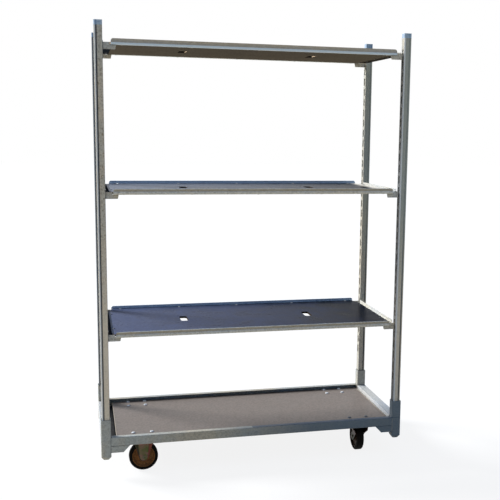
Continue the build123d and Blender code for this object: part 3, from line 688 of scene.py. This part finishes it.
def ply_edge(name, layers_from, dark, light, patches=()):
    """The cut edge: plies counted up from the board's lower face, a height in metres, and other colours
    where masks say so."""
    material, tree, place = new_material(name)
    above = add_node(tree, "Math", {0: place["Z"], 1: layers_from}, operation="SUBTRACT")
    ply = add_node(tree, "Math", {0: above, 1: PLY_MM * MM}, operation="PINGPONG")
    share = add_node(tree, "Math", {0: ply, 1: PLY_MM * MM}, operation="DIVIDE")
    layers = add_node(tree, "ValToRGB", {"Fac": share}, stops=[(0.35, dark), (0.65, light)])
    layers = tinted(tree, place, layers, patches)
    surface(tree, {"Base Color": layers, "Roughness": 0.7, "Specular IOR Level": 0.05})
    return material


print("plies", PLY_MM, "mm, dust", DUST_MM, "mm")

# %% Worn places, and painted light and shade, on the boards
deck_low, deck_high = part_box("deck_board")
deck_middle, deck_half = (deck_low + deck_high) / 2, (deck_high - deck_low) / 2
DECK_CORNER = 20 * MM
WORN_WIDTH = 3 * MM
GLARE_FROM, GLARE_TO = 0.565, 0.6
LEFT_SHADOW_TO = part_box("lower_shelf_panel")[0].x + 8 * MM
SLOT_END_FROM, SLOT_END_TO = 40 * MM, 60 * MM


def worn_rim(tree, place):
    """Near the deck's outline, a rectangle with round corners."""
    inner = Vector((deck_half.x - DECK_CORNER, deck_half.y - DECK_CORNER, 1.0))
    steps = (("SUBTRACT", deck_middle), ("ABSOLUTE", None), ("SUBTRACT", inner), ("MAXIMUM", (0, 0, 0)))
    past = place["point"]
    for step, other in steps:
        inputs = {0: past} if other is None else {0: past, 1: other}
        past = add_node(tree, "VectorMath", inputs, operation=step)
    reach = add_node(tree, "VectorMath", {0: past}, operation="LENGTH").outputs["Value"]
    return where(tree, [(reach, DECK_CORNER - WORN_WIDTH, None)])


def glare_at_right_end(tree, place):
    """At a shelf's right end: painted pale glare."""
    reach = {"Value": place["X"], "From Min": GLARE_FROM, "From Max": GLARE_TO}
    return add_node(tree, "MapRange", reach)


def shadow_at_left_end(tree, place):
    """In a strip along a shelf's left edge: a painted shadow of the end channel's wall."""
    return where(tree, [(place["X"], None, LEFT_SHADOW_TO)])


def shade_far_in_the_slots(tree, place):
    """At the rear end of the hand slots: painted shade on the far wall."""
    return where(tree, [(place["Y"], SLOT_END_FROM, SLOT_END_TO)])


print("worn", WORN_WIDTH / MM, "mm along the deck's edge")

# %% Finishes of the boards
on_deck = [(worn_rim, "#bfb2a0")]
# Painted shadow along the shelves' left edge.
on_shelf = [(shadow_at_left_end, "#1a2a40")]
# Painted pale glare at the middle shelf's right end.
on_glare_shelf = [(glare_at_right_end, "#e6dfd0"), *on_shelf]
deck_finishes = (
    film_face("scoured_deck_film", "#756b64", "#8b8078", 0.5, 90, 0.4, on_deck),
    film_face("dull_deck_underside", "#4a3d33", "#5a4b3f", 0.7, 120, 0.0),
    ply_edge("deck_ply_edge", deck_low.z, "#241c17", "#4f4030"),
)
# Both shelf films are paler towards the left end by a share: painted reflection.
shelf_top = film_face(
    "dark_phenolic_film", "#121722", "#525c7a", 0.3, 120, 0.008, on_shelf, lit_left=0.4
)
# The middle shelf's film has a paler light stop than the others: painted reflection.
glare_top = film_face(
    "glare_phenolic_film", "#121722", "#6e7686", 0.3, 120, 0.008, on_glare_shelf, lit_left=0.4
)
shelf_under = film_face("dull_shelf_underside", "#69645d", "#78726b", 0.75, 150, 0.0)
print("plywood", [m.name for m in deck_finishes], shelf_top.name, shelf_under.name)

# %% [markdown]
# ## Rubber and phenolic resin
# The tyres are solid black rubber, dull and dusty where they roll. The wheel cores are pressed from
# brown resin filled with fibres, which shows as short flecks and a satin skin.

# %% Wheel materials
FLECK_DEPTH = 0.3 * MM
SKIN_GLOSS = 0.06


def moulded(name, dark, light, fleck_mm, roughness, ior, patches=()):
    """A moulded skin: soft mottling, flecks or dust that are duller than the rest, and other colours
    where masks say so."""
    material, tree, place = new_material(name)
    speckled = {"Scale": per_metre(fleck_mm), "Detail": 5.0, "Roughness": 0.65}
    fleck = add_node(tree, "TexNoise", {"Vector": place["point"], **speckled})
    tone = add_node(tree, "ValToRGB", {"Fac": fleck}, stops=[(0.35, dark), (0.75, light)])
    tone = tinted(tree, place, tone, patches)
    span = {"From Min": 0.3, "From Max": 0.7, "To Min": roughness - 0.08, "To Max": roughness + 0.08}
    dull_and_shade = add_node(tree, "MapRange", {"Value": fleck, **span})
    bump = add_node(tree, "Bump", {"Height": fleck, "Strength": 0.3, "Distance": FLECK_DEPTH})
    finish = {"Base Color": tone, "Roughness": dull_and_shade, "Normal": bump, "IOR": ior}
    surface(tree, {**finish, "Specular IOR Level": SKIN_GLOSS})
    return material


# Painted shade on the front right wheel's core.
on_cores = [(shade_front_right, "#17120e")]
tyre_rubber = moulded("black_rubber", "#0c0a08", "#1b1814", fleck_mm=14, roughness=0.72, ior=1.52)
core_resin = moulded("brown_phenolic_resin", "#684426", "#9c6d40", 9, 0.48, 1.6, on_cores)
print("moulded", tyre_rubber.name, core_resin.name)

# %% [markdown]
# ## Dress the measured pieces
# Every measured piece gets the finish of what it is made of. The piece's name says what it is, so a
# table of parts of names is enough: the first part that is found in the name decides. Steel bars get
# streaks along their own length.

# %% Give each piece its finish
FINISHES = (
    ("tyre_", tyre_rubber),
    ("wheel_core", core_resin),
    ("wheel_bush", bearing_metal),
    ("swivel_balls", bearing_metal),
    ("deck_board", deck_finishes[0]),
    ("_panel", shelf_top),
    ("_rivets", rivet_metal),
    ("axle", olive_zinc),
    ("castor_", bright_zinc),
    ("kingpins", bright_zinc),
    ("fork", fork_zinc),
    ("swivel_plates", fork_zinc),
    ("post_", post_steel),
    ("end_rail", gutter_steel),
    ("_left_end", channel_steel),
    ("_right_end", right_end_steel),
    ("upper_shelf_front_rim", upper_rim_steel),
    ("_rim", rim_steel),
    ("_hooks", hook_steel),
    ("", rail_steel),  # is in every name, so it takes the rails, sockets and gussets that are left
)
for node, piece in frame["nodes"].items():
    piece.data.materials.clear()
    piece.data.materials.append(next(finish for part, finish in FINISHES if part in node))
print("dressed", len(frame["nodes"]), "pieces")

# %% [markdown]
# ## Tools for shaping
# Shaping is done as by hand: a piece is made the only one selected, edit mode is entered, and the
# faces, edges or points that an operator shall act on are picked by where they are or how they look.
# A copy of a measured mesh is loose triangles, so its points are merged and its flat triangles
# joined up before anything else. A piece that stands for a measured one rides with the same body.

# %% Tools for shaping
FLAT = math.radians(1)
WELDED = 0.01 * MM
SMOOTH_TURN = math.radians(35)


def only(piece):
    """Makes one piece the only one selected, and the active one."""
    bpy.ops.object.select_all(action="DESELECT")
    piece.select_set(True)
    bpy.context.view_layer.objects.active = piece


def pick(kind, test):
    """In edit mode, selects just the points, edges or faces that pass a test."""
    data = bpy.context.object.data
    bpy.ops.mesh.select_mode(type=kind)
    bpy.ops.mesh.select_all(action="DESELECT")
    mesh = bmesh.from_edit_mesh(data)
    for part in {"VERT": mesh.verts, "EDGE": mesh.edges, "FACE": mesh.faces}[kind]:
        if test(part):
            part.select_set(True)
    mesh.select_flush_mode()
    bmesh.update_edit_mesh(data)


def copy_of(node, name):
    """A merged copy of a measured piece's mesh, as a new object."""
    piece = bpy.data.objects.new(name, frame["nodes"][node].data.copy())
    bpy.context.scene.collection.objects.link(piece)
    only(piece)
    bpy.ops.object.mode_set(mode="EDIT")
    bpy.ops.mesh.select_all(action="SELECT")
    bpy.ops.mesh.remove_doubles(threshold=WELDED)
    bpy.ops.mesh.dissolve_limited(angle_limit=FLAT)
    bpy.ops.object.mode_set(mode="OBJECT")
    bpy.ops.mesh.customdata_custom_splitnormals_clear()
    return piece


def shade(piece):
    """Smooth shading over curves and roundings that leaves large flat faces flat."""
    only(piece)
    bpy.ops.object.shade_smooth_by_angle(angle=SMOOTH_TURN)
    weighted = piece.modifiers.new("weighted", "WEIGHTED_NORMAL")
    weighted.keep_sharp = True
    bpy.ops.object.modifier_apply(modifier=weighted.name)


def stand_for(piece, node):
    """Lets a piece stand for a measured one: hides the measured one and puts the piece on its body."""
    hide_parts(node)
    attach(piece, body_of[node])


print("points merge within", WELDED / MM, "mm")

# %% [markdown]
# ## Boards with eased edges
# A saw leaves a plywood edge sharp, and a pass with sandpaper takes the sharpness off. Each board is
# a copy of the measured one. Its long edges are picked by their length and their angle and bevelled
# a little, and then the faces are sorted by where they look: up, down, or to the side.

# %% Shape the boards
EASE = 0.7 * MM
LONG_EDGE = 20 * MM
SHARP = math.radians(60)
FACING = 0.7


def shape_board(node, name, finishes):
    """A board with eased long edges and a finish for its top, its underside and its cut edges."""
    board = copy_of(node, name)
    board.data.materials.clear()
    for finish in finishes:
        board.data.materials.append(finish)
    bpy.ops.object.mode_set(mode="EDIT")
    pick("EDGE", lambda edge: edge.calc_length() > LONG_EDGE and edge.calc_face_angle(0.0) > SHARP)
    bpy.ops.mesh.bevel(offset=EASE, segments=2, affect="EDGES")
    looks = (
        lambda face: face.normal.z > FACING,
        lambda face: face.normal.z < -FACING,
        lambda face: abs(face.normal.z) <= FACING,
    )
    for index, look in enumerate(looks):
        pick("FACE", look)
        board.active_material_index = index
        bpy.ops.object.material_slot_assign()
    bpy.ops.object.mode_set(mode="OBJECT")
    shade(board)
    stand_for(board, node)
    return board


SHELVES = ("lower", "middle", "upper")
# The lower and middle shelves' cut edges are dark: sealed plies, and painted shade as well. The upper
# shelf's are pale: painted sunlight on the slots' walls.
SEALED_SHADED_PLIES, LIT_PLIES = ("#1c1712", "#3a2e22"), ("#5a4a3a", "#c4ae90")
# Painted shade at the slots' far ends.
in_slots = [(shade_far_in_the_slots, SEALED_SHADED_PLIES[0])]
boards = [shape_board("deck_board", "deck_plywood", deck_finishes)]
for shelf in SHELVES:
    node = shelf + "_shelf_panel"
    plies = LIT_PLIES if shelf == "upper" else SEALED_SHADED_PLIES
    edge = ply_edge(shelf + "_shelf_ply_edge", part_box(node)[0].z, *plies, in_slots)
    top = glare_top if shelf == "middle" else shelf_top
    boards.append(shape_board(node, shelf + "_shelf_plywood", (top, shelf_under, edge)))
print("boards", {board.name: len(board.data.polygons) for board in boards})

# %% [markdown]
# ## Eased steel
# A press rounds every fold, and a bath of zinc rounds every cut edge a little more. That small round
# is what catches the light along an edge. It could be drawn edge by edge, but a Bevel modifier finds
# all edges that turn sharply by itself. Each pressed, cut or turned piece is a copy of the measured
# one, gets that modifier, and has it applied at once. The wheel cores are moulded, not steel, but a
# mould rounds edges as well, so they are eased with the rest.

# %% Ease the edges of the steel and the wheel cores
ROUND = 0.6 * MM
SHARP_TURN = math.radians(35)


def eased(node):
    """A copy of a measured piece with rounded edges, which stands for it."""
    piece = copy_of(node, node + "_eased")
    rounding = piece.modifiers.new("rounding", "BEVEL")
    rounding.width = ROUND
    rounding.segments = 2
    rounding.limit_method = "ANGLE"
    rounding.angle_limit = SHARP_TURN
    rounding.use_clamp_overlap = False
    bpy.ops.object.modifier_apply(modifier=rounding.name)
    shade(piece)
    stand_for(piece, node)
    return piece


EASED_KINDS = (
    "_rail", "gussets", "socket_", "post_", "_rim", "_end", "hooks",
    "fork", "swivel_plates", "nuts", "axle", "core",
)
softened = [eased(node) for node in frame["nodes"] if any(kind in node for kind in EASED_KINDS)]
print("eased", len(softened), "pieces,", sum(len(piece.data.polygons) for piece in softened), "faces")

# %% [markdown]
# ## Copies in place
# What repeats is modelled once, at the origin, and then copied. A copy gets a mesh of its own, and
# its turn and place go into that mesh, so that the object itself stays at the origin as the measured
# pieces do. Copies that belong to one piece are joined.

# %% Tools for copies
def placed_copy(master, name, matrix):
    """A copy of a modelled piece, turned and moved in its own mesh."""
    copy = bpy.data.objects.new(name, master.data.copy())
    copy.data.transform(matrix)
    bpy.context.scene.collection.objects.link(copy)
    return copy


def joined(copies, name):
    """Copies made one piece with one name."""
    only(copies[0])
    for copy in copies[1:]:
        copy.select_set(True)
    bpy.ops.object.join()
    copies[0].name = name
    copies[0].data.name = name
    return copies[0]


def throw_away(piece):
    """Removes a master when its copies are made."""
    only(piece)
    bpy.ops.object.delete()


# %% [markdown]
# ## Pop rivets
# The panels are held by blind rivets. Such a rivet has a low domed head with the stub of its pin down
# in a hole, a shank through the sheet, and a swollen tail underneath. It is turned from one short
# cylinder: the head's rim is bevelled to a dome, the pin hole is inset and pressed in, and the shank
# and tail are extruded downwards, ring by ring. The measured rivets say where the copies go.

# %% Find the measured rivets
def parts_of(node):
    """The box of each loose part of a measured piece, as lowest and highest corner."""
    copy = copy_of(node, "measure")
    bpy.ops.object.mode_set(mode="EDIT")
    bpy.ops.mesh.select_all(action="SELECT")
    bpy.ops.mesh.separate(type="LOOSE")
    bpy.ops.object.mode_set(mode="OBJECT")
    boxes = []
    for part in bpy.context.selected_objects:
        points = [vertex.co for vertex in part.data.vertices]
        low = Vector([min(point[axis] for point in points) for axis in range(3)])
        high = Vector([max(point[axis] for point in points) for axis in range(3)])
        boxes.append((low, high))
    bpy.ops.object.delete()
    return sorted(boxes, key=lambda box: tuple(round(value, 5) for value in box[0]))


rivet_boxes = {shelf: parts_of(shelf + "_shelf_rivets") for shelf in SHELVES}
print("rivets", {shelf: len(boxes) for shelf, boxes in rivet_boxes.items()})

# %% Model one rivet
HEAD_DOME = 1.9 * MM
HOLE_RADIUS, HOLE_DEPTH = 1.7 * MM, 0.9 * MM
PIN_GAP, PIN_RISE = 0.35 * MM, 0.5 * MM
SHANK_RADIUS = 2.5 * MM
TAIL_RADIUS, TAIL_HEIGHT, TAIL_ROUND = 4.4 * MM, 1.5 * MM, 0.6 * MM
HEAD_HEIGHT = 2.5 * MM
RIVET_SIDES = 20
STRAIGHT = 0.9
NEAR, CAP_NEAR = 0.1 * MM, 0.05 * MM
first_low, first_high = rivet_boxes["lower"][0]
head_radius = (first_high.x - first_low.x) / 2
whole_height = first_high.z - first_low.z
shank_length = whole_height - HEAD_HEIGHT - TAIL_HEIGHT


def cap(side, height):
    """A test for the flat face that looks up or down at a height."""
    def fits(face):
        off = face.calc_center_median().z - height
        return side * face.normal.z > STRAIGHT and abs(off) < CAP_NEAR

    return fits


def push(distance):
    """Extrudes the picked cap straight up, or down for a negative distance."""
    bpy.ops.mesh.extrude_region_move(TRANSFORM_OT_translate={"value": (0, 0, distance)})


bpy.ops.object.select_all(action="DESELECT")
head_place = (0, 0, whole_height - HEAD_HEIGHT / 2)
bpy.ops.mesh.primitive_cylinder_add(
    vertices=RIVET_SIDES, radius=head_radius, depth=HEAD_HEIGHT, location=head_place
)
rivet = bpy.context.object
bpy.ops.object.transform_apply(location=True)
bpy.ops.object.mode_set(mode="EDIT")
pick("EDGE", lambda edge: all(vertex.co.z > whole_height - NEAR for vertex in edge.verts))
bpy.ops.mesh.bevel(offset=HEAD_DOME, segments=4, affect="EDGES")
pick("FACE", cap(1, whole_height))
bpy.ops.mesh.inset(thickness=head_radius - HEAD_DOME - HOLE_RADIUS)
push(-HOLE_DEPTH)
bpy.ops.mesh.inset(thickness=PIN_GAP)
push(PIN_RISE)
pick("FACE", cap(-1, whole_height - HEAD_HEIGHT))
bpy.ops.mesh.inset(thickness=head_radius - SHANK_RADIUS)
push(-shank_length)
bpy.ops.mesh.extrude_region_move(TRANSFORM_OT_translate={"value": (0, 0, 0)})
swell = TAIL_RADIUS / SHANK_RADIUS
bpy.ops.transform.resize(value=(swell, swell, 1), center_override=(0, 0, 0))
push(-TAIL_HEIGHT)
pick("EDGE", lambda edge: all(vertex.co.z < NEAR for vertex in edge.verts))
bpy.ops.mesh.bevel(offset=TAIL_ROUND, segments=2, affect="EDGES")
bpy.ops.object.mode_set(mode="OBJECT")
shade(rivet)
rivet.data.materials.append(rivet_metal)
print("rivet", len(rivet.data.polygons), "faces,", [round(size / MM, 2) for size in rivet.dimensions])

# %% Set the rivets in the shelves
SHADED_BEYOND = 0.59  # metres from the middle: rivets past it are darker, as painted shade of the end channels
for shelf, boxes in rivet_boxes.items():
    copies = []
    for low, high in boxes:
        seat = Vector(((low.x + high.x) / 2, (low.y + high.y) / 2, low.z))
        copy = placed_copy(rivet, "rivet", Matrix.Translation(seat))
        if abs(seat.x) > SHADED_BEYOND:
            copy.data.materials[0] = shaded_rivet_metal
        copies.append(copy)
    rivets = joined(copies, shelf + "_shelf_pop_rivets")
    stand_for(rivets, shelf + "_shelf_rivets")
    print(rivets.name, len(boxes), "rivets")
throw_away(rivet)

# %% [markdown]
# ## Tyres
# A solid tyre is pressed in a mould of two halves: its shoulders are round, a step runs round each
# sidewall, and a fine groove in the middle of the tread shows where the halves met. It starts as a
# short cylinder. Both caps are inset by the tyre's thickness and deleted, and the two open rings are
# bridged, which makes the tube. Then come the shoulders, the steps, and a groove cut by two pairs of
# bisecting planes.

# %% Model one tyre
TYRE_THICKNESS = 13 * MM
SHOULDER = 7 * MM
STEP_INSET, STEP_DEPTH = 1.6 * MM, 0.7 * MM
SEAM_WIDTH, SEAM_DEPTH = 1.6 * MM, 0.5 * MM
SEAM_CUTS = (-1.0, -0.5, 0.5, 1.0)
SEAM_FLOOR = 0.6 * SEAM_WIDTH  # between the inner and the outer pair of cuts
TREAD_DEPTH = 1 * MM
TYRE_SIDES = 96
FLAT_SIDE = 0.999
tyre_low, tyre_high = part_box("tyre_front_left")
tyre_radius = (tyre_high.z - tyre_low.z) / 2
tyre_width = tyre_high.y - tyre_low.y


def out_from_axle(vertex):
    """Distance of a point from the Y axis, which is the axle while the tyre is modelled."""
    return math.hypot(vertex.co.x, vertex.co.z)


def on_a_shoulder(edge):
    """True for the edges round the tread's two sides, and not for those across it."""
    first, second = edge.verts
    outermost = min(out_from_axle(first), out_from_axle(second)) > tyre_radius - NEAR
    return outermost and abs(first.co.y + second.co.y) > tyre_width - NEAR


bpy.ops.object.select_all(action="DESELECT")
bpy.ops.mesh.primitive_cylinder_add(
    vertices=TYRE_SIDES, radius=tyre_radius, depth=tyre_width, rotation=(math.pi / 2, 0, 0)
)
tyre = bpy.context.object
bpy.ops.object.transform_apply(rotation=True)
bpy.ops.object.mode_set(mode="EDIT")
pick("FACE", lambda face: abs(face.normal.y) > STRAIGHT)
bpy.ops.mesh.inset(thickness=TYRE_THICKNESS)
bpy.ops.mesh.delete(type="FACE")
bpy.ops.mesh.select_mode(type="EDGE")
bpy.ops.mesh.select_all(action="DESELECT")
bpy.ops.mesh.select_non_manifold()
bpy.ops.mesh.bridge_edge_loops()
bpy.ops.mesh.select_all(action="SELECT")
bpy.ops.mesh.normals_make_consistent(inside=False)
pick("EDGE", on_a_shoulder)
bpy.ops.mesh.bevel(offset=SHOULDER, segments=8, affect="EDGES")
for side in (-1, 1):
    pick("FACE", lambda face: side * face.normal.y > FLAT_SIDE)
    bpy.ops.mesh.inset(thickness=STEP_INSET)
    bpy.ops.mesh.extrude_region_move(TRANSFORM_OT_translate={"value": (0, -side * STEP_DEPTH, 0)})
for across in SEAM_CUTS:
    bpy.ops.mesh.select_all(action="SELECT")
    bpy.ops.mesh.bisect(plane_co=(0, across * SEAM_WIDTH, 0), plane_no=(0, 1, 0))
tread = tyre_radius - TREAD_DEPTH
pick("VERT", lambda vertex: abs(vertex.co.y) < SEAM_FLOOR and out_from_axle(vertex) > tread)
drawn_in = 1 - SEAM_DEPTH / tyre_radius
bpy.ops.transform.resize(value=(drawn_in, 1, drawn_in), center_override=(0, 0, 0))
bpy.ops.mesh.select_all(action="SELECT")
bpy.ops.mesh.normals_make_consistent(inside=False)
bpy.ops.object.mode_set(mode="OBJECT")
shade(tyre)
tyre.data.materials.append(tyre_rubber)
print("tyre", len(tyre.data.polygons), "faces,", [round(size / MM, 2) for size in tyre.dimensions])

# %% Put the tyres on the wheels
for node in [name for name in frame["nodes"] if name.startswith("tyre_")]:
    low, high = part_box(node)
    rolls_along_y = high.y - low.y > high.x - low.x
    turned = Matrix.Rotation(math.pi / 2 if rolls_along_y else 0.0, 4, "Z")
    seat = Matrix.Translation((low + high) / 2) @ turned
    stand_for(placed_copy(tyre, node + "_moulded", seat), node)
    print(node, "rolls along", "Y" if rolls_along_y else "X")
throw_away(tyre)

# %% [markdown]
# ## Weld beads
# The frame is welded: where a rail meets a socket, a gusset meets a rail or a hook meets a rim, a
# rippled bead fills the corner. A bead is a thin cylinder cut into short rings. Every other ring is
# drawn in a little, which leaves the ripples that the weld pool freezes in, and both ends taper off.
# Each bead is modelled once, copied to the four corners, and the beads of one body are joined.

# %% Tools for weld beads
RIPPLE = 2.5 * MM
RIPPLE_WAIST, BEAD_END = 0.8, 0.35
BEAD_SIDES, BEAD_SMOOTH = 10, math.radians(60)
CORNERS = ((1, 1, 1), (1, -1, 1), (-1, 1, 1), (-1, -1, 1))
weld_steel = galvanised_steel("galvanised_weld_bead", "#aeb4b7", "#b9b4a6", ALONG_Z, 3)


def weld_bead(length, radius):
    """A rippled bead along Z with its middle at the origin."""
    rings = 2 * round(length / RIPPLE / 2)
    bpy.ops.object.select_all(action="DESELECT")
    bpy.ops.mesh.primitive_cylinder_add(vertices=BEAD_SIDES, radius=radius, depth=length)
    bead = bpy.context.object
    bpy.ops.object.mode_set(mode="EDIT")
    pick("EDGE", lambda edge: abs(edge.verts[0].co.z - edge.verts[1].co.z) > length / 2)
    bpy.ops.mesh.subdivide(number_cuts=rings - 1)
    pick("VERT", lambda vertex: round((vertex.co.z / length + 0.5) * rings) % 2 == 1)
    bpy.ops.transform.resize(value=(RIPPLE_WAIST, RIPPLE_WAIST, 1), center_override=(0, 0, 0))
    pick("VERT", lambda vertex: abs(vertex.co.z) > length / 2 - NEAR)
    bpy.ops.transform.resize(value=(BEAD_END, BEAD_END, 1), center_override=(0, 0, 0))
    bpy.ops.object.mode_set(mode="OBJECT")
    bpy.ops.object.shade_smooth_by_angle(angle=BEAD_SMOOTH)
    bead.data.materials.append(weld_steel)
    return bead


def laid_between(bead, start, end):
    """A copy of a bead, with its ends at two points."""
    turned = (end - start).to_track_quat("Z", "Y").to_matrix().to_4x4()
    return placed_copy(bead, "bead", Matrix.Translation((start + end) / 2) @ turned)


def lay_welds(name, body, runs):
    """Beads along runs given in millimetres for the rear right corner, and alike at the other three."""
    copies = []
    for start, end, radius in runs:
        start, end = Vector(start) * MM, Vector(end) * MM
        bead = weld_bead((end - start).length, radius * MM)
        for side in CORNERS:
            copies.append(laid_between(bead, start * Vector(side), end * Vector(side)))
        throw_away(bead)
    welds = joined(copies, name)
    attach(welds, body)
    print(name, len(copies), "beads,", len(welds.data.polygons), "faces")


print("ripples", RIPPLE / MM, "mm apart")

# %% Lay the weld beads
FRAME_RUNS = [
    ((634.5, 280.2, 107), (634.5, 280.2, 171), 2.2),  # long rail and gusset to socket, upright
    ((632.6, 259, 173), (632.6, 279, 173), 1.8),  # top of the long rail to socket
    ((637, 240.2, 173), (671, 240.2, 173), 1.8),  # top of the end rail to socket
    ((672.7, 241.6, 137), (672.7, 241.6, 171), 2.2),  # end rail to socket, upright
    ((557, 279, 133.7), (630, 279, 133.7), 1.8),  # gusset to the long rail's foot
]
HOOK_START, HOOK_END, HOOK_SIDES = 585, 604, (258.4, 264.6)
HOOK_BEAD, BELOW_RIM = 1.5, 0.4
lay_welds("frame_welds", "base", FRAME_RUNS)
for shelf in SHELVES:
    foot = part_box(shelf + "_shelf_front_rim")[0].z / MM - BELOW_RIM
    hook_runs = [((HOOK_START, y, foot), (HOOK_END, y, foot), HOOK_BEAD) for y in HOOK_SIDES]
    lay_welds(shelf + "_shelf_welds", shelf + "_shelf", hook_runs)
